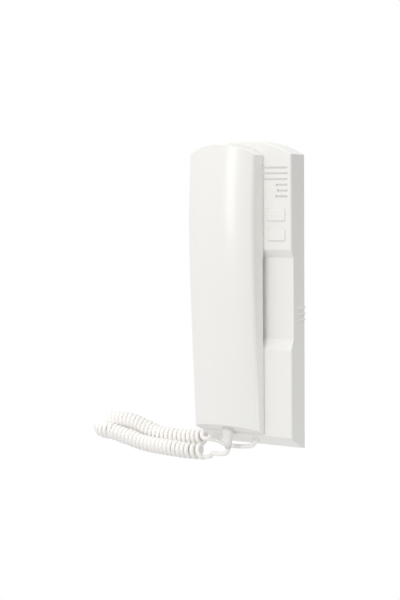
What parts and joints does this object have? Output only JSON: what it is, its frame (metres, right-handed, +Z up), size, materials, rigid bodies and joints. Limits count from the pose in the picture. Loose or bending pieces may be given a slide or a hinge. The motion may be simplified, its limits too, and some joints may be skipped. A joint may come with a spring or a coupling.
{
  "type": "audio intercom handset",
  "caption": "Wall-hung audio intercom: slim housing with sound slots and two keys, a crowned handset that lies on it and lifts off, and a curly cord.",
  "frame": {"origin": "centre of the base's back face, which lies flat on the wall", "axes": "X to the right as seen from the front, the front faces minus Y, Z up; the wall is the plane Y = 0"},
  "size_m": [0.1802, 0.0427, 0.2347],
  "materials": {
    "housing": "white moulded plastic with a slight gloss",
    "housing_inside": "white moulded plastic, plain inside finish",
    "board": "green laminate",
    "screw_steel": "zinc plated steel",
    "dark_plastic": "black component plastic",
    "terminal_plastic": "blue-grey terminal plastic",
    "capsule_metal": "drawn capsule metal",
    "dark_rubber": "soft black rubber",
    "white_rubber": "soft white rubber",
    "cord_jacket": "smooth white cord jacket"
  },
  "bodies": {
    "base": {"wall_plate": "housing_inside", "base_cover": "housing", "circuit_board": "board", "board_screws": "screw_steel", "board_components": "dark_plastic", "terminal_block": "terminal_plastic", "terminal_screws": "screw_steel", "handset_connector": "terminal_plastic", "call_sounder": "dark_plastic", "hook_switch": "dark_plastic", "upper_key_switch": "dark_plastic", "lower_key_switch": "dark_plastic", "base_grommet": "white_rubber", "curly_cord": "cord_jacket"},
    "handset": {"handset_front_shell": "housing", "handset_back_shell": "housing", "handset_screws": "screw_steel", "receiver_capsule": "capsule_metal", "receiver_gasket": "dark_rubber", "microphone": "capsule_metal", "microphone_holder": "dark_rubber", "handset_boot": "white_rubber"},
    "plunger": {"hook_plunger": "housing"},
    "upper_key": {"upper_button": "housing"},
    "lower_key": {"lower_button": "housing"}
  },
  "joints": [
    {"name": "handset_lift", "type": "slide", "parent": "base", "child": "handset", "axis": [0, -1, 0], "range_m": [0, 0.06]},
    {"name": "hook_plunger_travel", "type": "slide", "parent": "base", "child": "plunger", "axis": [0, -1, 0], "range_m": [0, 0.004]},
    {"name": "upper_button_press", "type": "slide", "parent": "base", "child": "upper_key", "axis": [0, 1, 0], "range_m": [0, 0.0008], "stiffness_N_per_m": 400},
    {"name": "lower_button_press", "type": "slide", "parent": "base", "child": "lower_key", "axis": [0, 1, 0], "range_m": [0, 0.0008], "stiffness_N_per_m": 400}
  ],
  "couplings": [
    {"joint": "hook_plunger_travel", "follows": "handset_lift", "ratio": 0.066667}
  ]
}
